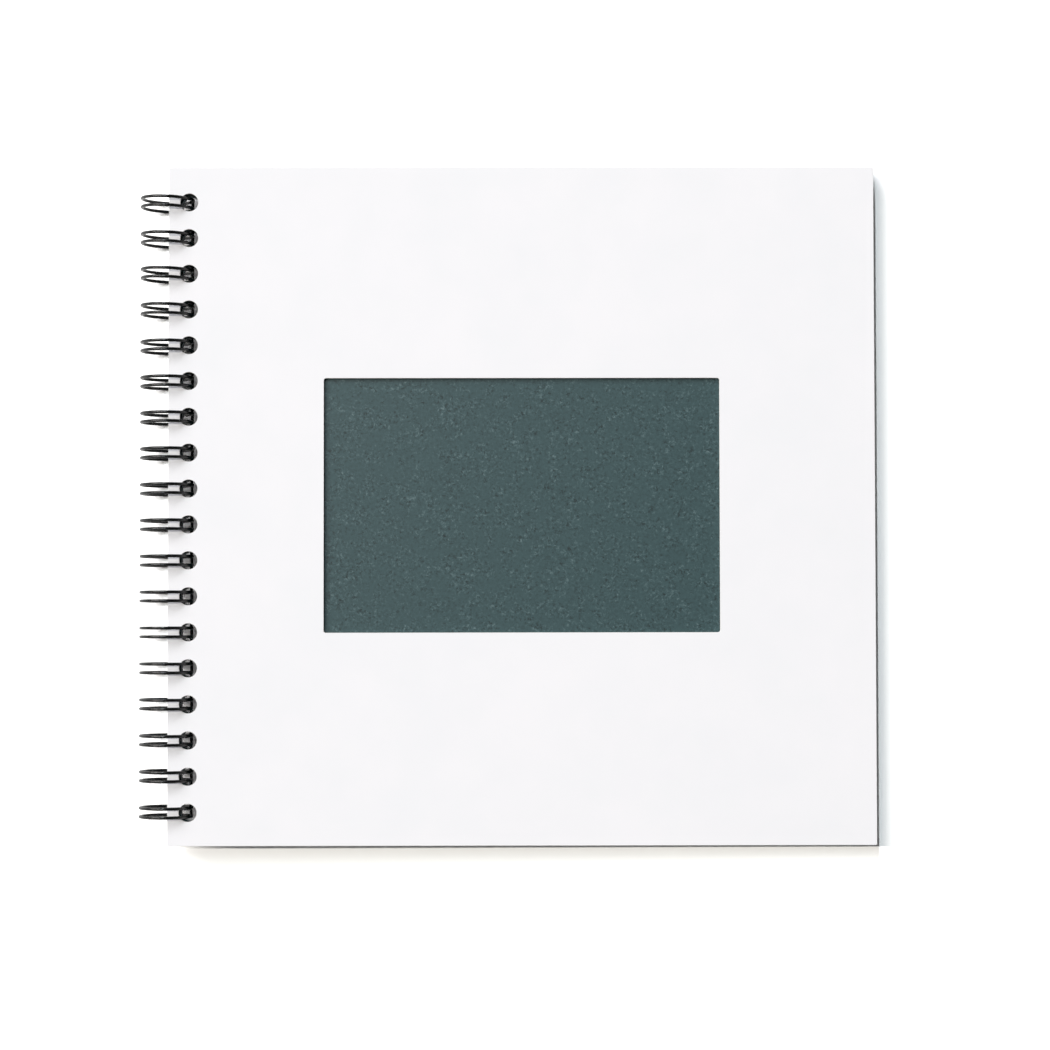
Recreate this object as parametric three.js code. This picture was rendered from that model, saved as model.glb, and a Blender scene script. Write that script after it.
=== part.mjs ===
// Photo album: a window-cut front cover, a block of card pages and a back cover, held by one twin-loop wire.
// Millimetres. X runs from the spine to the fore-edge, Y to the head, Z up.
// The closed album lies at rest on the bottoms of its loops and on the fore-edge of its back cover.
import * as THREE from 'three';

// Leaves
const leafWidth = 250;
const leafHeight = 240;
const coverThickness = 1.2;
const sheetCount = 20;
const sheetThickness = 0.32;

// Window cut through the middle of the front cover
const windowWidth = 140;
const windowHeight = 90;
const windowCornerRadius = 0.8;

// Row of punched holes, two to the inch, a little nearer the tail than the head
const holePitch = 12.7;
const holeInset = 7.2;
const leastEndMargin = 8;
const rowOffset = -0.35;

// Twin-loop wire
const wireDiameter = 1.15;
const twinSpacing = 3.1;
const holePlay = 2.05;
const loopPlay = 8.65;
const rootBendRadius = 1.5;
const tipSetback = 0.3;
const leanOfHeadLoops = [2.0, 1.7, 2.0, 1.4];

// Free space between pieces that lie on each other
const clearance = 0.3;

// Fineness of the round forms
const wireSides = 6;
const loopSteps = 14;
const tipSteps = 4;
const rootSteps = 2;
const cornerSteps = 3;
const holeSteps = 8;

// The loop is as large as the closed stack of leaves and its play
const blockThickness = sheetCount * sheetThickness;
const seamGap = wireDiameter + 2 * clearance;
const stackThickness = 2 * coverThickness + blockThickness + seamGap + clearance;
const loopDiameter = stackThickness + loopPlay;
const loopRadius = (loopDiameter - wireDiameter) / 2;
const stackHalf = stackThickness / 2;

// Seen from the loops' axis, the holes lie midway between the wire's nearest and furthest run through the stack
const holeX = (loopRadius + Math.sqrt(loopRadius ** 2 - stackHalf ** 2)) / 2;
const spineX = holeX - holeInset;
const foreEdgeX = spineX + leafWidth;

// Holes take both wires of a loop, and as many fit as the leaf's height allows
const holeDiameter = twinSpacing + wireDiameter + holePlay;
const holeCount = Math.floor((leafHeight - 2 * leastEndMargin) / holePitch) + 1;
const loopY = Array.from({ length: holeCount }, (_, k) => rowOffset + ((holeCount - 1) / 2 - k) * holePitch);

// The seam of the wire hides between the last page and the back cover
const seamZ = -stackHalf + coverThickness + clearance + wireDiameter / 2;
const seamAngle = Math.asin(seamZ / loopRadius);
const seamX = loopRadius * Math.cos(seamAngle);

// The pages lie on the seam near the spine and on the back cover at the fore-edge, so they slope by this much
const wedgeAngle = Math.atan2(wireDiameter + clearance, foreEdgeX - seamX);
const seamHeightUnderPages = seamX * Math.sin(wedgeAngle) + seamZ * Math.cos(wedgeAngle);
const blockBottom = seamHeightUnderPages + wireDiameter / 2 + clearance;
const frontCoverBottom = blockBottom + blockThickness + clearance;

// The album leans on its loops, so its back cover slopes down to the fore-edge
const restAngle =
  Math.asin(loopDiameter / 2 / Math.hypot(foreEdgeX, stackHalf)) - Math.atan2(stackHalf, foreEdgeX);

// Outline of a leaf with its punched holes, in the plane of the leaf
function leafShape() {
  const shape = new THREE.Shape();
  shape.moveTo(spineX, -leafHeight / 2);
  shape.lineTo(foreEdgeX, -leafHeight / 2);
  shape.lineTo(foreEdgeX, leafHeight / 2);
  shape.lineTo(spineX, leafHeight / 2);
  shape.closePath();
  for (const y of loopY) {
    const hole = new THREE.Path();
    hole.absellipse(holeX, y, holeDiameter / 2, holeDiameter / 2, 0, 2 * Math.PI, true);
    shape.holes.push(hole);
  }
  return shape;
}

// Window outline with four small round corners, run clockwise because it is a hole
function windowPath() {
  const path = new THREE.Path();
  const middleX = spineX + leafWidth / 2;
  const cornerX = windowWidth / 2 - windowCornerRadius;
  const cornerY = windowHeight / 2 - windowCornerRadius;
  const corners = [[1, 1], [1, -1], [-1, -1], [-1, 1]];
  const points = corners.flatMap(([sideX, sideY], quarter) =>
    Array.from({ length: cornerSteps + 1 }, (_, k) => {
      const turn = Math.PI / 2 * (1 - quarter - k / cornerSteps);
      return new THREE.Vector2(
        middleX + sideX * cornerX + windowCornerRadius * Math.cos(turn),
        sideY * cornerY + windowCornerRadius * Math.sin(turn),
      );
    }),
  );
  path.setFromPoints(points);
  return path;
}

// A flat leaf of one thickness, its lower face at the given height
function leafGeometry(shape, thickness, bottom) {
  const geometry = new THREE.ExtrudeGeometry(shape, {
    depth: thickness,
    steps: 1,
    curveSegments: holeSteps,
    bevelEnabled: false,
  });
  return geometry.translate(0, 0, bottom);
}

// A point on the cylinder of the loops, given by its way round from the seam and its place along the spine
function onLoop(arc, y, lean) {
  const angle = seamAngle + arc / loopRadius;
  const x = loopRadius * Math.cos(angle);
  const leaning = Math.tan(lean) * (holeX - x);
  return new THREE.Vector3(x, y + leaning, loopRadius * Math.sin(angle));
}

// One loop of the comb: down from the root, round the leaves to the bent tip, and back to the next root.
// The way round starts at the seam and is negative, because the loop leaves the seam downwards.
function loopStations(y, lean, hasRootBefore, hasRootAfter) {
  const half = twinSpacing / 2;
  const rootArc = -rootBendRadius;
  const tipArc = tipSetback + half - 2 * Math.PI * loopRadius;
  const stations = [];
  const bend = (side, k) => {
    const turn = Math.PI / 2 * k / rootSteps;
    const away = half + rootBendRadius * (1 - Math.sin(turn));
    return onLoop(rootArc + rootBendRadius * Math.cos(turn), y + side * away, lean);
  };
  if (hasRootBefore) {
    for (let k = 0; k < rootSteps; k += 1) stations.push(bend(1, k));
  }
  for (let k = 0; k < loopSteps; k += 1) {
    stations.push(onLoop(rootArc + (tipArc - rootArc) * k / loopSteps, y + half, lean));
  }
  for (let k = 0; k <= tipSteps; k += 1) {
    const turn = Math.PI * k / tipSteps;
    stations.push(onLoop(tipArc - half * Math.sin(turn), y + half * Math.cos(turn), lean));
  }
  for (let k = 1; k <= loopSteps; k += 1) {
    stations.push(onLoop(tipArc + (rootArc - tipArc) * k / loopSteps, y - half, lean));
  }
  if (hasRootAfter) {
    for (let k = rootSteps - 1; k >= 0; k -= 1) stations.push(bend(-1, k));
  }
  return stations;
}

// The wire's centre line through chosen stations, which stand closer together where it bends
class WireCurve extends THREE.Curve {
  constructor(stations) {
    super();
    this.stations = stations;
  }

  // Steps fall on the stations, not at equal lengths
  getUtoTmapping(u) {
    return u;
  }

  getPoint(t, target = new THREE.Vector3()) {
    const last = this.stations.length - 1;
    const k = Math.min(Math.floor(t * last), last - 1);
    return target.lerpVectors(this.stations[k], this.stations[k + 1], t * last - k);
  }

  // At a station the wire points midway between the runs on its two sides
  getTangent(t, target = new THREE.Vector3()) {
    const last = this.stations.length - 1;
    const k = Math.round(t * last);
    const here = this.stations[k];
    const before = new THREE.Vector3();
    const after = new THREE.Vector3();
    if (k > 0) before.subVectors(here, this.stations[k - 1]).normalize();
    if (k < last) after.subVectors(this.stations[k + 1], here).normalize();
    return target.addVectors(before, after).normalize();
  }
}

function wireGeometry() {
  const stations = loopY.flatMap((y, k) => {
    const lean = THREE.MathUtils.degToRad(leanOfHeadLoops[k] ?? 0);
    return loopStations(y, lean, k > 0, k < holeCount - 1);
  });
  const section = new THREE.Shape(
    Array.from({ length: wireSides }, (_, k) => {
      const turn = 2 * Math.PI * k / wireSides;
      return new THREE.Vector2(Math.cos(turn), Math.sin(turn)).multiplyScalar(wireDiameter / 2);
    }),
  );
  return new THREE.ExtrudeGeometry(section, {
    steps: stations.length - 1,
    extrudePath: new WireCurve(stations),
    bevelEnabled: false,
  });
}

function piece(name, geometry, color, roughness, metalness) {
  const mesh = new THREE.Mesh(geometry, new THREE.MeshStandardMaterial({ color, roughness, metalness }));
  mesh.name = name;
  return mesh;
}

// The front cover is white board with a window in it
const coverShape = leafShape();
coverShape.holes.push(windowPath());
const frontCover = piece(
  'front_cover',
  leafGeometry(coverShape, coverThickness, frontCoverBottom),
  '#f6f7f9',
  0.6,
  0,
);

// The pages are slate-coloured card
const pageBlock = piece(
  'page_block',
  leafGeometry(leafShape(), blockThickness, blockBottom),
  '#4b5f61',
  0.85,
  0,
);

// The back cover is white board
const backCover = piece(
  'back_cover',
  leafGeometry(leafShape(), coverThickness, -stackHalf),
  '#f6f7f9',
  0.6,
  0,
);

// The binding is one length of black coated wire
const bindingWire = piece('binding_wire', wireGeometry(), '#15181a', 0.35, 0.6);

// Pages and front cover slope together over the seam
const pagesAndFront = new THREE.Group();
pagesAndFront.rotation.y = wedgeAngle;
pagesAndFront.add(pageBlock, frontCover);

// The whole album slopes down to its fore-edge
const resting = new THREE.Group();
resting.rotation.y = restAngle;
resting.add(backCover, bindingWire, pagesAndFront);

// The origin is on the surface that carries the album, under the middle of its outline
const album = new THREE.Group();
album.add(resting);
const outline = new THREE.Box3().setFromObject(album, true);
const middle = outline.getCenter(new THREE.Vector3());
album.position.set(-middle.x, -middle.y, -outline.min.z);

export default album;
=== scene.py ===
# %% [markdown]
# # A wire-bound photo album with a window in its cover
# The album is a stack of flat leaves: a white front board with a window cut through it, slate-coloured
# card pages, and a white back board. One length of black wire, bent into twin loops, holds them at the
# spine. The solid model fixes where everything is. This lesson dresses it: each leaf gets soft cut edges and
# paper fibre, the block becomes single sheets, and the wire becomes truly round. Lengths are in metres. X
# runs from the spine to the fore-edge, Y from the tail to the head, and Z is up.

# %% Load the frame
import math
import random

import bmesh
import bpy
from mathutils import Matrix, Vector


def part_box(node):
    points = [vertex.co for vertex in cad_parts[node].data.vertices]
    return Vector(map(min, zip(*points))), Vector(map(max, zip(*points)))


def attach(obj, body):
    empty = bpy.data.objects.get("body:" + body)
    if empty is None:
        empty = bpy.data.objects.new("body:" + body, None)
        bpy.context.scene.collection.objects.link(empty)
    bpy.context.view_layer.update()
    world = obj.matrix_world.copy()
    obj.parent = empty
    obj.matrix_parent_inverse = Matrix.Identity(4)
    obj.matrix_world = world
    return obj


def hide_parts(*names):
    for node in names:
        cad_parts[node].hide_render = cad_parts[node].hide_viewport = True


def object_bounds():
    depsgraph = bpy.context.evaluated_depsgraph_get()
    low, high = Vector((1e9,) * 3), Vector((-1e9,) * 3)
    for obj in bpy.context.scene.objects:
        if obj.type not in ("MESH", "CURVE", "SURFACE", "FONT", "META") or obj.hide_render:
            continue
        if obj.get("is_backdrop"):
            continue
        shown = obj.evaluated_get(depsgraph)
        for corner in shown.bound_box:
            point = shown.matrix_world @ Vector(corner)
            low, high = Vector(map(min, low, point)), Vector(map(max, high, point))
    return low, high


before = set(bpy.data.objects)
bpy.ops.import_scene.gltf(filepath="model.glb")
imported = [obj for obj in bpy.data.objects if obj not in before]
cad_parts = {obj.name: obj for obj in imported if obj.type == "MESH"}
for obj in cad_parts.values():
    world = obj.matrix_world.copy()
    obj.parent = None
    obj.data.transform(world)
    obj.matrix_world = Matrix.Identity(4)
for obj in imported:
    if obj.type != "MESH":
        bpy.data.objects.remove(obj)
solid_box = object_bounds()
MM = 0.001


def print_box(name, box):
    """Prints a box's two corners in millimetres."""
    low, high = ([round(value / MM, 1) for value in corner] for corner in box)
    print(name, "from", low, "to", high, "mm")


print_box("solid model", solid_box)

# %% [markdown]
# ## The camera
# The album was photographed from straight above, a metre over the table, with a lens long enough to keep
# its edges almost square. The camera's tilt is read from how little the left and right edges lean. It is a
# plain perspective camera: its place and its three small turns do all the framing, with no shift.

# %% Camera
camera_place = Vector((24.7, -43.3, 1000.0)) * MM
camera_turn_degrees = (2.1, 1.056, -0.087)
lens_length = 95.9
sensor_width = 36.0
nearest_seen = 0.05
furthest_seen = 20.0

camera_data = bpy.data.cameras.new("camera")
camera_data.lens = lens_length
camera_data.sensor_width = sensor_width
camera_data.clip_start = nearest_seen
camera_data.clip_end = furthest_seen
camera = bpy.data.objects.new("camera", camera_data)
camera.location = camera_place
camera.rotation_euler = [math.radians(turn) for turn in camera_turn_degrees]
bpy.context.scene.collection.objects.link(camera)
bpy.context.scene.camera = camera
print("camera", lens_length, "mm lens,", round(camera_place.z, 3), "m above the table")

# %% [markdown]
# ## The album's sizes
# Every leaf is punched alike, so a few sizes describe them all. The loops' radius follows from the stack
# that they hold. The wire of the solid model has flat facets, which lie a little inside the true round, so
# the round wire is wound a tenth of a millimetre tighter to stay within the same outline.

# %% Sizes
leaf_width = 250 * MM
leaf_height = 240 * MM
board_thickness = 1.2 * MM
sheet_count = 20
sheet_pitch = 0.32 * MM
window_width = 140 * MM
window_height = 90 * MM
window_corner = 0.8 * MM
hole_pitch = 12.7 * MM
hole_inset = 7.2 * MM
least_end_margin = 8 * MM
row_offset = -0.35 * MM
wire_diameter = 1.15 * MM
twin_spacing = 3.1 * MM
hole_play = 2.05 * MM
loop_play = 8.65 * MM
root_bend = 1.5 * MM
tip_setback = 0.3 * MM
lean_of_head_loops = [2.0, 1.7, 2.0, 1.4]
clearance = 0.3 * MM
round_wire_tightening = 0.1 * MM

block_thickness = sheet_count * sheet_pitch
stack_thickness = 2 * board_thickness + block_thickness + wire_diameter + 3 * clearance
stack_half = stack_thickness / 2
loop_diameter = stack_thickness + loop_play
loop_radius = (loop_diameter - wire_diameter) / 2
hole_x = (loop_radius + math.sqrt(loop_radius**2 - stack_half**2)) / 2
spine_x = hole_x - hole_inset
fore_edge_x = spine_x + leaf_width
middle_x = spine_x + leaf_width / 2
hole_diameter = twin_spacing + wire_diameter + hole_play
hole_count = math.floor((leaf_height - 2 * least_end_margin) / hole_pitch) + 1
loop_rows = [row_offset + ((hole_count - 1) / 2 - k) * hole_pitch for k in range(hole_count)]
print(hole_count, "loops, each", round(loop_diameter / MM, 2), "mm across")
print("their holes are", round(hole_diameter / MM, 2), "mm wide")

# %% [markdown]
# ## How the album lies
# The loops are thicker than the stack, so the closed album leans on them and slopes down to its fore-edge.
# The pages lie on the wire's seam near the spine and slope a little more than the back board does. Each
# piece is made flat, around the loops' axis, and a matrix then lays it in its place on the table.

# %% Resting place
seam_z = -stack_half + board_thickness + clearance + wire_diameter / 2
seam_angle = math.asin(seam_z / loop_radius)
seam_x = loop_radius * math.cos(seam_angle)
wedge_angle = math.atan2(wire_diameter + clearance, fore_edge_x - seam_x)
seam_under_pages = seam_x * math.sin(wedge_angle) + seam_z * math.cos(wedge_angle)
block_bottom = seam_under_pages + wire_diameter / 2 + clearance
front_bottom = block_bottom + block_thickness + clearance
back_corner_angle = math.atan2(stack_half, fore_edge_x)
rest_angle = math.asin(loop_diameter / 2 / math.hypot(fore_edge_x, stack_half)) - back_corner_angle

back_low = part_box("back_cover")[0]
axis_x = back_low.x - spine_x * math.cos(rest_angle) + stack_half * math.sin(rest_angle)
axis_z = back_low.z + fore_edge_x * math.sin(rest_angle) + stack_half * math.cos(rest_angle)
loops_axis = Matrix.Translation((axis_x, 0, axis_z))
lay_back = loops_axis @ Matrix.Rotation(rest_angle, 4, "Y")
lay_pages = loops_axis @ Matrix.Rotation(rest_angle + wedge_angle, 4, "Y")
print("the album leans by", round(math.degrees(rest_angle), 2), "degrees")
print("its loops' axis is", round(axis_z / MM, 2), "mm above the table")

# %% [markdown]
# ## Colours and nodes
# Colours are written as the hex values that a paint or print shop uses, which are sRGB. Blender's shaders
# count in linear light, so one function turns the first into the second. One more function adds a node,
# sets its inputs and links it, because every material below is built from the same few steps.


# %% Helpers for materials
def linear(hex_colour):
    """The linear RGBA of an sRGB hex colour."""
    parts = [int(hex_colour[k : k + 2], 16) / 255 for k in (1, 3, 5)]
    light = [part / 12.92 if part <= 0.04045 else ((part + 0.055) / 1.055) ** 2.4 for part in parts]
    return (*light, 1.0)


def add_node(tree, kind, inputs=None, **settings):
    """Adds one node. An input's value is either a socket to link from or a plain value."""
    node = tree.nodes.new(kind)
    for name, value in settings.items():
        setattr(node, name, value)
    for name, value in (inputs or {}).items():
        if isinstance(value, bpy.types.NodeSocket):
            tree.links.new(value, node.inputs[name])
        else:
            node.inputs[name].default_value = value
    return node


def new_material(name):
    """An empty node material and its tree."""
    material = bpy.data.materials.new(name)
    material.use_nodes = True
    material.node_tree.nodes.clear()
    return material, material.node_tree


def set_stops(ramp, stops):
    """Gives a colour ramp its stops, as (place, hex colour) pairs from left to right."""
    elements = ramp.color_ramp.elements
    while len(elements) < len(stops):
        elements.new(0.5)
    for element, (place, hex_colour) in zip(elements, stops):
        element.position = place
        element.color = linear(hex_colour)


def per_metre(millimetres):
    """The texture scale that gives a pattern of that size."""
    return 1000.0 / millimetres


print("white board is", [round(v, 3) for v in linear("#f6f7f9")], "in linear light")

# %% [markdown]
# ## White cover board
# The covers are white-lined board: pulp pressed into a stiff sheet with a smooth white paper face, left
# uncoated. Its eye-catching trait is how little it shows: an even, slightly cool white, matt, with a trace
# of fibre when light rakes over it. A flat white would look like plastic, so a faint cloudiness and a fine
# fibre relief are added. Paper fibres are about 0.03 mm wide, too fine to show, so they are drawn ten times
# as coarse.


# %% White-lined board
def make_white_board():
    """Uncoated white board, pressed smooth: even, matt and faintly fibrous."""
    material, tree = new_material("white_lined_board_pressed")
    place = add_node(tree, "ShaderNodeTexCoord").outputs["Object"]
    cloud = add_node(tree, "ShaderNodeTexNoise", {"Vector": place, "Scale": per_metre(22.0), "Detail": 3.0})
    tone = add_node(tree, "ShaderNodeValToRGB", {"Fac": cloud.outputs["Fac"]})
    set_stops(tone, [(0.3, "#f5f5f8"), (0.7, "#f8f7fa")])
    fibre = add_node(
        tree,
        "ShaderNodeTexNoise",
        {"Vector": place, "Scale": per_metre(0.35), "Detail": 4.0, "Roughness": 0.6},
    )
    matt = add_node(
        tree,
        "ShaderNodeMapRange",
        {"Value": fibre.outputs["Fac"], "From Min": 0.3, "From Max": 0.7, "To Min": 0.58, "To Max": 0.72},
    )
    relief = add_node(
        tree,
        "ShaderNodeBump",
        {"Height": fibre.outputs["Fac"], "Strength": 0.25, "Distance": 0.02 * MM},
    )
    shader = add_node(
        tree,
        "ShaderNodeBsdfPrincipled",
        {
            "Base Color": tone.outputs["Color"],
            "Roughness": matt.outputs["Result"],
            "Normal": relief.outputs["Normal"],
            "IOR": 1.47,
        },
    )
    add_node(tree, "ShaderNodeOutputMaterial", {"Surface": shader.outputs["BSDF"]})
    return material


white_board = make_white_board()
print("made", white_board.name)

# %% [markdown]
# ## Cut edge of the board
# Where a blade has gone through the board, the pressed face ends and the grey-white pulp core shows, in
# thin plies along the edge, about 0.3 mm each. A wave along the board's thickness gives the plies, and
# noise breaks them up as torn fibre does. Blender's wave texture repeats every twentieth of a full turn, so
# its scale is worked out from that and from the thickness of a ply.


# %% Cut board edge
wave_period = 2 * math.pi / 20


def make_cut_board():
    """The core of the white board where it was die-cut: duller, rougher, in faint plies."""
    material, tree = new_material("white_board_core_cut")
    place = add_node(tree, "ShaderNodeTexCoord").outputs["Object"]
    plies = add_node(
        tree,
        "ShaderNodeTexWave",
        {"Vector": place, "Scale": wave_period * per_metre(0.3), "Distortion": 2.0, "Detail": 2.0},
        bands_direction="Z",
    )
    tone = add_node(tree, "ShaderNodeValToRGB", {"Fac": plies.outputs["Fac"]})
    set_stops(tone, [(0.2, "#e2e2df"), (0.8, "#efefed")])
    torn = add_node(tree, "ShaderNodeTexNoise", {"Vector": place, "Scale": per_metre(0.25), "Detail": 3.0})
    relief = add_node(
        tree,
        "ShaderNodeBump",
        {"Height": torn.outputs["Fac"], "Strength": 0.5, "Distance": 0.05 * MM},
    )
    shader = add_node(
        tree,
        "ShaderNodeBsdfPrincipled",
        {
            "Base Color": tone.outputs["Color"],
            "Roughness": 0.85,
            "Normal": relief.outputs["Normal"],
            "IOR": 1.47,
        },
    )
    add_node(tree, "ShaderNodeOutputMaterial", {"Surface": shader.outputs["BSDF"]})
    return material


cut_board = make_cut_board()
print("made", cut_board.name)

# %% [markdown]
# ## Slate card
# The pages are uncoated card, dyed blue-grey in the pulp. Pulp takes dye unevenly: single fibres stay pale
# or go dark, so the sheet is flecked when seen close and even from afar. Two noises draw this, a fine one
# for the flecks and a broad one that lets them gather here and there. The real flecks are a few tenths of
# a millimetre, about one pixel in the picture, so they are drawn a millimetre wide to show. Every sheet is a
# mesh island of its own, and a random shade for each island tells the sheets apart from the side. The cut
# edge needs no shader of its own, because dyed pulp has one colour all through.


# %% Dyed slate card
def make_slate_card():
    """Pulp-dyed card, calendered lightly: matt blue-grey with pale and dark fibre flecks."""
    material, tree = new_material("slate_card_pulp_dyed")
    place = add_node(tree, "ShaderNodeTexCoord").outputs["Object"]
    fleck = add_node(
        tree,
        "ShaderNodeTexNoise",
        {"Vector": place, "Scale": per_metre(1.0), "Detail": 3.0, "Roughness": 0.7, "Distortion": 0.6},
    )
    gather = add_node(tree, "ShaderNodeTexNoise", {"Vector": place, "Scale": per_metre(5.0), "Detail": 2.0})
    spread = add_node(
        tree,
        "ShaderNodeMapRange",
        {"Value": gather.outputs["Fac"], "From Min": 0.35, "From Max": 0.65, "To Min": 0.5, "To Max": 1.25},
    )
    centred = add_node(tree, "ShaderNodeMath", {0: fleck.outputs["Fac"], 1: 0.5}, operation="SUBTRACT")
    stronger = add_node(
        tree,
        "ShaderNodeMath",
        {0: centred.outputs["Value"], 1: spread.outputs["Result"], 2: 0.5},
        operation="MULTIPLY_ADD",
    )
    tone = add_node(tree, "ShaderNodeValToRGB", {"Fac": stronger.outputs["Value"]})
    set_stops(tone, [(0.3, "#16292b"), (0.46, "#2f484b"), (0.56, "#344e51"), (0.74, "#5c7275")])
    sheet_number = add_node(tree, "ShaderNodeNewGeometry").outputs["Random Per Island"]
    sheet_shade = add_node(
        tree,
        "ShaderNodeMapRange",
        {"Value": sheet_number, "To Min": 0.94, "To Max": 1.04},
    )
    shaded = add_node(
        tree,
        "ShaderNodeHueSaturation",
        {"Value": sheet_shade.outputs["Result"], "Color": tone.outputs["Color"]},
    )
    relief = add_node(
        tree,
        "ShaderNodeBump",
        {"Height": fleck.outputs["Fac"], "Strength": 0.35, "Distance": 0.04 * MM},
    )
    shader = add_node(
        tree,
        "ShaderNodeBsdfPrincipled",
        {
            "Base Color": shaded.outputs["Color"],
            "Roughness": 0.46,
            "Normal": relief.outputs["Normal"],
            "IOR": 1.5,
        },
    )
    add_node(tree, "ShaderNodeOutputMaterial", {"Surface": shader.outputs["BSDF"]})
    return material


slate_card = make_slate_card()
print("made", slate_card.name)

# %% [markdown]
# ## Nylon-coated wire
# Binding wire is soft steel drawn to a millimetre and dipped in black nylon. What one sees is the nylon: a
# black, semi-gloss skin that mirrors the lamp as a soft streak along each bend. It has no metal look at
# all, so the shader is a plain dielectric with the refractive index of nylon, and a slight orange peel
# breaks up the streak.


# %% Black nylon coating
def make_coated_wire():
    """Black nylon dipped over steel wire: semi-gloss, with soft streaks of light."""
    material, tree = new_material("black_nylon_coating_dipped")
    place = add_node(tree, "ShaderNodeTexCoord").outputs["Object"]
    peel = add_node(tree, "ShaderNodeTexNoise", {"Vector": place, "Scale": per_metre(0.6), "Detail": 2.0})
    gloss = add_node(
        tree,
        "ShaderNodeMapRange",
        {"Value": peel.outputs["Fac"], "From Min": 0.3, "From Max": 0.7, "To Min": 0.2, "To Max": 0.3},
    )
    tone = add_node(tree, "ShaderNodeValToRGB", {"Fac": peel.outputs["Fac"]})
    set_stops(tone, [(0.3, "#050607"), (0.7, "#0b0d0e")])
    relief = add_node(
        tree,
        "ShaderNodeBump",
        {"Height": peel.outputs["Fac"], "Strength": 0.2, "Distance": 0.02 * MM},
    )
    shader = add_node(
        tree,
        "ShaderNodeBsdfPrincipled",
        {
            "Base Color": tone.outputs["Color"],
            "Roughness": gloss.outputs["Result"],
            "Normal": relief.outputs["Normal"],
            "IOR": 1.53,
        },
    )
    add_node(tree, "ShaderNodeOutputMaterial", {"Surface": shader.outputs["BSDF"]})
    return material


coated_wire = make_coated_wire()
print("made", coated_wire.name)

# %% [markdown]
# ## The outline of a leaf
# A leaf's outline is a rectangle with a row of round holes, and for the front cover a window. Each outline
# is a ring of points that can be drawn back from the material by a small amount. Rings at several heights
# with different set-backs make the softly rounded edge that punching and cutting leave, and a flat face
# closes the top and the bottom.

# %% Rings of a leaf
hole_points = 40
corner_points = 4
leaf_corner = 0.4 * MM


def rounded_rectangle(x, width, height, radius):
    """A ring of points round a rectangle whose middle is at x, with round corners."""
    points = []
    for side_x, side_y, start in ((1, 1, 0), (-1, 1, 1), (-1, -1, 2), (1, -1, 3)):
        for k in range(corner_points + 1):
            turn = math.pi / 2 * (start + k / corner_points)
            points.append(
                (
                    x + side_x * (width / 2 - radius) + radius * math.cos(turn),
                    side_y * (height / 2 - radius) + radius * math.sin(turn),
                )
            )
    return points


def circle(x, y, radius):
    """A ring of points round a punched hole."""
    turns = [2 * math.pi * k / hole_points for k in range(hole_points)]
    return [(x + radius * math.cos(turn), y + radius * math.sin(turn)) for turn in turns]


def leaf_rings(set_back, with_window):
    """The rings of a leaf whose edges are all drawn back by set_back."""
    rings = [
        rounded_rectangle(middle_x, leaf_width - 2 * set_back, leaf_height - 2 * set_back, leaf_corner)
    ]
    rings += [circle(hole_x, y, hole_diameter / 2 + set_back) for y in loop_rows]
    if with_window:
        opening = (window_width + 2 * set_back, window_height + 2 * set_back)
        rings.append(rounded_rectangle(middle_x, *opening, window_corner))
    return rings


print("a page has", sum(len(ring) for ring in leaf_rings(0.0, False)), "points round its edges")

# %% [markdown]
# ## From rings to a leaf
# The rings of each height are joined to the next with quads, which become the cut edge. The first and the
# last set of rings are filled as flat faces. The faces stay flat-shaded and the edges smooth-shaded, so
# the wide flat face takes no false shading from its narrow rounded rim.


# %% Leaf builder
def add_leaf(mesh, profile, with_window, edge_material, shift=(0.0, 0.0), turn=0.0):
    """Adds one closed leaf. The profile lists (height, set_back) from its lower face to its upper face."""
    cos_turn, sin_turn = math.cos(turn), math.sin(turn)
    levels = []
    for height, set_back in profile:
        rings = [
            [
                mesh.verts.new(
                    (
                        middle_x + (x - middle_x) * cos_turn - y * sin_turn + shift[0],
                        (x - middle_x) * sin_turn + y * cos_turn + shift[1],
                        height,
                    )
                )
                for x, y in ring
            ]
            for ring in leaf_rings(set_back, with_window)
        ]
        levels.append(rings)
    for lower, upper in zip(levels, levels[1:]):
        for low_ring, high_ring in zip(lower, upper):
            for k in range(len(low_ring)):
                after = (k + 1) % len(low_ring)
                edge = mesh.faces.new((low_ring[k], low_ring[after], high_ring[after], high_ring[k]))
                edge.material_index = edge_material
                edge.smooth = True
    for rings in (levels[0], levels[-1]):
        rim = [mesh.edges.get((ring[k - 1], ring[k])) for ring in rings for k in range(len(ring))]
        bmesh.ops.triangle_fill(mesh, edges=rim, use_beauty=True, use_dissolve=False)


def rounded_profile(bottom, thickness, radius, steps=3):
    """Heights and set-backs of an edge that is rounded at its lower and upper corner."""
    arc = [math.pi / 2 * k / steps for k in range(steps + 1)]
    lower = [(bottom + radius * (1 - math.cos(turn)), radius * (1 - math.sin(turn))) for turn in arc]
    upper = [(bottom + thickness - height + bottom, set_back) for height, set_back in reversed(lower)]
    return lower + upper


def finish_leaves(name, mesh, placing, materials):
    """Turns a bmesh of leaves into an object that lies in its place on the table."""
    bmesh.ops.recalc_face_normals(mesh, faces=mesh.faces)
    mesh.transform(placing)
    data = bpy.data.meshes.new(name)
    mesh.to_mesh(data)
    mesh.free()
    for material in materials:
        data.materials.append(material)
    piece = bpy.data.objects.new(name, data)
    bpy.context.scene.collection.objects.link(piece)
    data.calc_loop_triangles()
    print(name, "has", len(data.loop_triangles), "triangles")
    return piece


# %% [markdown]
# ## The two boards
# A die presses the board's edge in slightly before it cuts, so the edge is rounded by about a tenth of the
# board's thickness. The front board has the window, and the back board is plain.

# %% Front and back board
board_edge_radius = 0.12 * MM
FACE, EDGE = 0, 1


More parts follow.
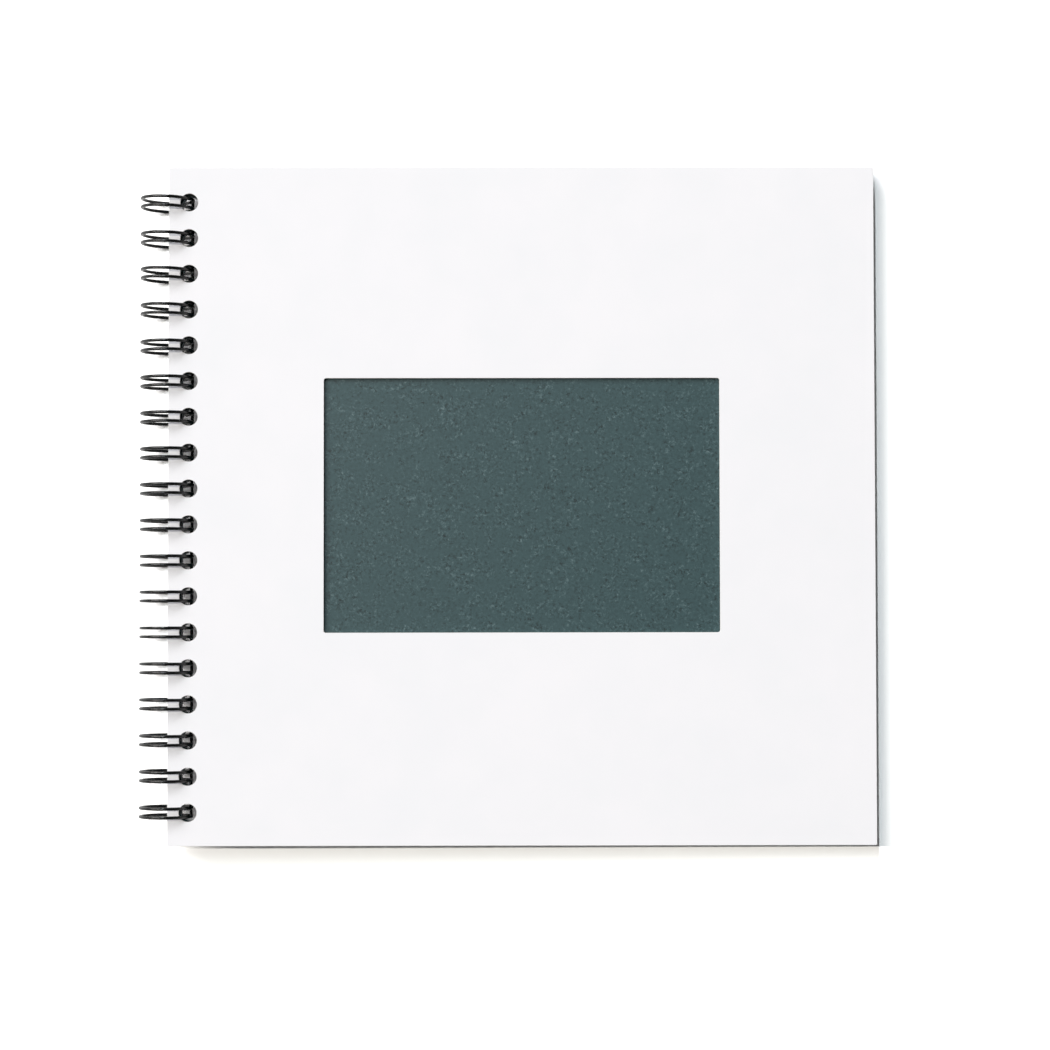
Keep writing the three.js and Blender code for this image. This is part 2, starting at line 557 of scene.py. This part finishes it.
def make_board(name, bottom, with_window, placing):
    """One white board with rounded cut edges."""
    mesh = bmesh.new()
    add_leaf(mesh, rounded_profile(bottom, board_thickness, board_edge_radius), with_window, EDGE)
    return finish_leaves(name, mesh, placing, [white_board, cut_board])


front_board = make_board("front_board", front_bottom, True, lay_pages)
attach(front_board, "front_cover")
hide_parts("front_cover")

back_board = make_board("back_board", -stack_half, False, lay_back)
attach(back_board, "back_cover")
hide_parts("back_cover")

# %% [markdown]
# ## The pages, sheet by sheet
# Seen from the side, a block of pages is a stack of fine lines, because each sheet ends a little before or
# after its neighbour and a sliver of air parts them. So the block is twenty closed sheets in one mesh. Each
# is trimmed a little smaller than the boards, and then slipped by up to a tenth of a millimetre and turned
# by a hair. The random numbers are seeded, so the stack is the same on each run.

# %% Page block
sheet_gap = 0.03 * MM
sheet_edge_radius = 0.03 * MM
largest_slip = 0.12 * MM
sheet_trim = 0.2 * MM
largest_turn = math.radians(0.02)
slips = random.Random(18)


def make_pages():
    """The block of twenty sheets."""
    mesh = bmesh.new()
    for k in range(sheet_count):
        bottom = block_bottom + k * sheet_pitch + sheet_gap / 2
        slip = (slips.uniform(-largest_slip, largest_slip), slips.uniform(-largest_slip, largest_slip))
        turn = slips.uniform(-largest_turn, largest_turn)
        rim = rounded_profile(bottom, sheet_pitch - sheet_gap, sheet_edge_radius, steps=1)
        profile = [(height, set_back + sheet_trim) for height, set_back in rim]
        add_leaf(mesh, profile, False, FACE, slip, turn)
    return finish_leaves("page_sheets", mesh, lay_pages, [slate_card])


page_sheets = make_pages()
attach(page_sheets, "pages")
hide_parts("page_block")

# %% [markdown]
# ## The twin-loop wire
# One wire is bent into a comb of hairpins, and the comb is rolled up until each hairpin's tip meets the
# roots again, hidden under the back board. Its path is easy to say on the cylinder of the loops: an arc
# length round from the seam, and a place along the spine. A curve with a round bevel follows that path and
# is then turned into a mesh.

# %% Path of the wire
round_radius = loop_radius - round_wire_tightening
loop_steps = 56
tip_steps = 12
root_steps = 8


def on_loop(arc, y, lean):
    """A point on the cylinder of the loops. A leaning loop shifts along the spine away from its holes."""
    angle = seam_angle + arc / loop_radius
    x = round_radius * math.cos(angle)
    return Vector((x, y + math.tan(lean) * (hole_x - x), round_radius * math.sin(angle)))


def loop_path(y, lean, has_root_before, has_root_after):
    """One hairpin of the comb, from its first root, round the leaves to its tip, and back."""
    half = twin_spacing / 2
    root_arc = -root_bend
    tip_arc = tip_setback + half - 2 * math.pi * loop_radius

    def bend(side, k):
        turn = math.pi / 2 * k / root_steps
        away = half + root_bend * (1 - math.sin(turn))
        return on_loop(root_arc + root_bend * math.cos(turn), y + side * away, lean)

    path = [bend(1, k) for k in range(root_steps)] if has_root_before else []
    for k in range(loop_steps):
        path.append(on_loop(root_arc + (tip_arc - root_arc) * k / loop_steps, y + half, lean))
    for k in range(tip_steps + 1):
        turn = math.pi * k / tip_steps
        path.append(on_loop(tip_arc - half * math.sin(turn), y + half * math.cos(turn), lean))
    for k in range(1, loop_steps + 1):
        path.append(on_loop(tip_arc + (root_arc - tip_arc) * k / loop_steps, y - half, lean))
    if has_root_after:
        path += [bend(-1, k) for k in range(root_steps - 1, -1, -1)]
    return path


wire_path = []
for k, y in enumerate(loop_rows):
    lean = math.radians(lean_of_head_loops[k]) if k < len(lean_of_head_loops) else 0.0
    wire_path += loop_path(y, lean, k > 0, k < hole_count - 1)
wire_length = sum((b - a).length for a, b in zip(wire_path, wire_path[1:]))
print("the wire is", round(wire_length, 2), "m long")


# %% Round wire
wire_roundness = 5
merge_distance = 0.001 * MM


def make_wire():
    """The bent wire as a closed round mesh."""
    curve = bpy.data.curves.new("wire_path", "CURVE")
    curve.dimensions = "3D"
    curve.bevel_depth = wire_diameter / 2
    curve.bevel_resolution = wire_roundness
    curve.use_fill_caps = True
    spline = curve.splines.new("POLY")
    spline.points.add(len(wire_path) - 1)
    for point, place in zip(spline.points, wire_path):
        point.co = (*(lay_back @ place), 1.0)
    guide = bpy.data.objects.new("wire_path", curve)
    bpy.context.scene.collection.objects.link(guide)
    data = bpy.data.meshes.new_from_object(guide.evaluated_get(bpy.context.evaluated_depsgraph_get()))
    bpy.data.objects.remove(guide)
    bpy.data.curves.remove(curve)
    mesh = bmesh.new()
    mesh.from_mesh(data)
    bmesh.ops.remove_doubles(mesh, verts=mesh.verts, dist=merge_distance)
    bmesh.ops.recalc_face_normals(mesh, faces=mesh.faces)
    for face in mesh.faces:
        face.smooth = len(face.verts) <= 4
    mesh.to_mesh(data)
    mesh.free()
    data.name = "twin_loop_wire"
    data.materials.clear()
    data.materials.append(coated_wire)
    piece = bpy.data.objects.new("twin_loop_wire", data)
    bpy.context.scene.collection.objects.link(piece)
    data.calc_loop_triangles()
    print("twin_loop_wire has", len(data.loop_triangles), "triangles")
    return piece


twin_loop_wire = make_wire()
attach(twin_loop_wire, "pages")
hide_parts("binding_wire")

# %% [markdown]
# ## The table
# A product on pure white still needs its shadow, or it floats. The floor is therefore truly lit and truly
# shaded, but what the camera sees of it is multiplied up past white, as in a bright exposure. The open
# floor and the faint shadows of the wire wash out to white, and the dark foot of the album's own shadow
# stays. In reflections the floor is a plain white, and the light that it throws back is that of paper.

# %% Floor
paper_white = 0.9
white_for_the_eye = 1.7


def make_table_top():
    """A white paper sweep, matt, brightly exposed for the eye of the camera."""
    material, tree = new_material("white_paper_sweep")
    ray = add_node(tree, "ShaderNodeLightPath")
    mirrored = add_node(
        tree,
        "ShaderNodeMath",
        {0: ray.outputs["Is Glossy Ray"], 1: ray.outputs["Is Transmission Ray"]},
        operation="MAXIMUM",
    )
    mirrored_white = add_node(
        tree,
        "ShaderNodeMapRange",
        {"Value": mirrored.outputs["Value"], "To Min": paper_white, "To Max": 1.0},
    )
    white = add_node(
        tree,
        "ShaderNodeMapRange",
        {
            "Value": ray.outputs["Is Camera Ray"],
            "To Min": mirrored_white.outputs["Result"],
            "To Max": white_for_the_eye,
        },
    )
    paper = add_node(tree, "ShaderNodeBsdfDiffuse", {"Color": white.outputs["Result"]})
    add_node(tree, "ShaderNodeOutputMaterial", {"Surface": paper.outputs["BSDF"]})
    return material


floor_half = 3.0
floor_height = -0.01 * MM
floor_mesh = bpy.data.meshes.new("table_top")
corner_sides = ((-1, -1), (1, -1), (1, 1), (-1, 1))
floor_corners = [(x * floor_half, y * floor_half, floor_height) for x, y in corner_sides]
floor_mesh.from_pydata(floor_corners, [], [(0, 1, 2, 3)])
floor_mesh.materials.append(make_table_top())
table_top = bpy.data.objects.new("table_top", floor_mesh)
bpy.context.scene.collection.objects.link(table_top)
table_top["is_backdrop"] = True
print("the table top is", 2 * floor_half, "m wide")

# %% [markdown]
# ## Light
# The shadow tells where the lamps were. Beside the right edge it is a thin dark line and then a pale, cool
# foot that fades over half a centimetre. Below the bottom edge it is the same again, but warm. Two strip
# lamps do this, one at the left and one at the head, each long and narrow and pointing away from the album.
# A strip's narrow side throws a sharp edge and its long side a soft one. So beside the right edge the cool
# lamp at the head ends the dark line, and the warm lamp at the left fades in slowly. Below the album they
# change places. A large softbox in the corner between them fills in.
#
# All three stand far off, so the light is even over the cover. Each lamp's power is worked out from the
# level that it would give on a white sheet if it were small. A long lamp gives a little less than that,
# because its ends are further away, so the levels add up to slightly more than one.

# %% Lamps
album_middle = (solid_box[0] + solid_box[1]) / 2


def add_softbox(name, direction, along, distance, size, level, colour):
    """A lamp aimed at the album with its long side along an axis. The level is that of a lit white sheet."""
    away = Vector(direction).normalized()
    lengthways = (Vector(along) - Vector(along).dot(away) * away).normalized()
    data = bpy.data.lights.new(name, "AREA")
    data.shape = "RECTANGLE"
    data.size, data.size_y = size
    data.color = colour
    data.energy = level * math.pi**2 * distance**2 / away.z
    lamp = bpy.data.objects.new(name, data)
    lamp.location = album_middle + away * distance
    lamp.rotation_euler = Matrix((lengthways, away.cross(lengthways), away)).transposed().to_euler()
    lamp.visible_camera = False
    bpy.context.scene.collection.objects.link(lamp)
    print(name, "gives", level, "from", round(math.degrees(math.asin(away.z))), "degrees up")


lamp_distance = 14.0
strip_size = (12.0, 0.35)
softbox_size = (8.0, 8.0)
warm_white = (1.0, 0.96, 0.89)
cool_white = (0.91, 0.97, 1.0)
pink_white = (1.0, 0.97, 1.0)
add_softbox("left_strip", (-0.8, 0.12, 1), (1, 0, 0), lamp_distance, strip_size, 0.44, warm_white)
add_softbox("head_strip", (-0.17, 0.7, 1), (0, 1, 0), lamp_distance, strip_size, 0.365, cool_white)
add_softbox("corner_softbox", (-0.9, 0.9, 1), (0, 0, 1), lamp_distance, softbox_size, 0.29, pink_white)

# %% [markdown]
# ## The room
# The camera sees a plain white room. What the room adds to the light on the album is a small, even fill.
# In reflections the room is white at the level of the table and fades to dark overhead, as a studio with an
# unlit ceiling does. That keeps the black coating of the wire black where it faces the camera, and leaves
# white only along its sides. The fade runs over the upward part of a direction, which is 0 for level and 1
# for straight up.

# %% World
room_fill = 0.07
white_up_to = 0.0
dark_from = 0.35
ceiling_level = 0.04
world = bpy.data.worlds.new("white_room")
world.use_nodes = True
world.node_tree.nodes.clear()
bpy.context.scene.world = world
room_ray = add_node(world.node_tree, "ShaderNodeLightPath")
room_mirrored = add_node(
    world.node_tree,
    "ShaderNodeMath",
    {0: room_ray.outputs["Is Glossy Ray"], 1: room_ray.outputs["Is Transmission Ray"]},
    operation="MAXIMUM",
)
room_height = add_node(
    world.node_tree,
    "ShaderNodeSeparateXYZ",
    {"Vector": add_node(world.node_tree, "ShaderNodeTexCoord").outputs["Generated"]},
)
room_white = add_node(
    world.node_tree,
    "ShaderNodeMapRange",
    {
        "Value": room_height.outputs["Z"],
        "From Min": white_up_to,
        "From Max": dark_from,
        "To Min": 1.0,
        "To Max": ceiling_level,
    },
)
room_light_or_mirrored = add_node(
    world.node_tree,
    "ShaderNodeMapRange",
    {"Value": room_mirrored.outputs["Value"], "To Min": room_fill, "To Max": room_white.outputs["Result"]},
)
room_strength = add_node(
    world.node_tree,
    "ShaderNodeMapRange",
    {
        "Value": room_ray.outputs["Is Camera Ray"],
        "To Min": room_light_or_mirrored.outputs["Result"],
        "To Max": 1.0,
    },
)
room_light = add_node(
    world.node_tree,
    "ShaderNodeBackground",
    {"Color": linear("#ffffff"), "Strength": room_strength.outputs["Result"]},
)
add_node(world.node_tree, "ShaderNodeOutputWorld", {"Surface": room_light.outputs["Background"]})
bpy.context.scene.view_settings.view_transform = "Standard"
print("the room fills with", room_fill)

# %% Update the scene and print the dressed model's sizes
bpy.context.view_layer.update()
dressed_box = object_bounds()
print_box("dressed model", dressed_box)
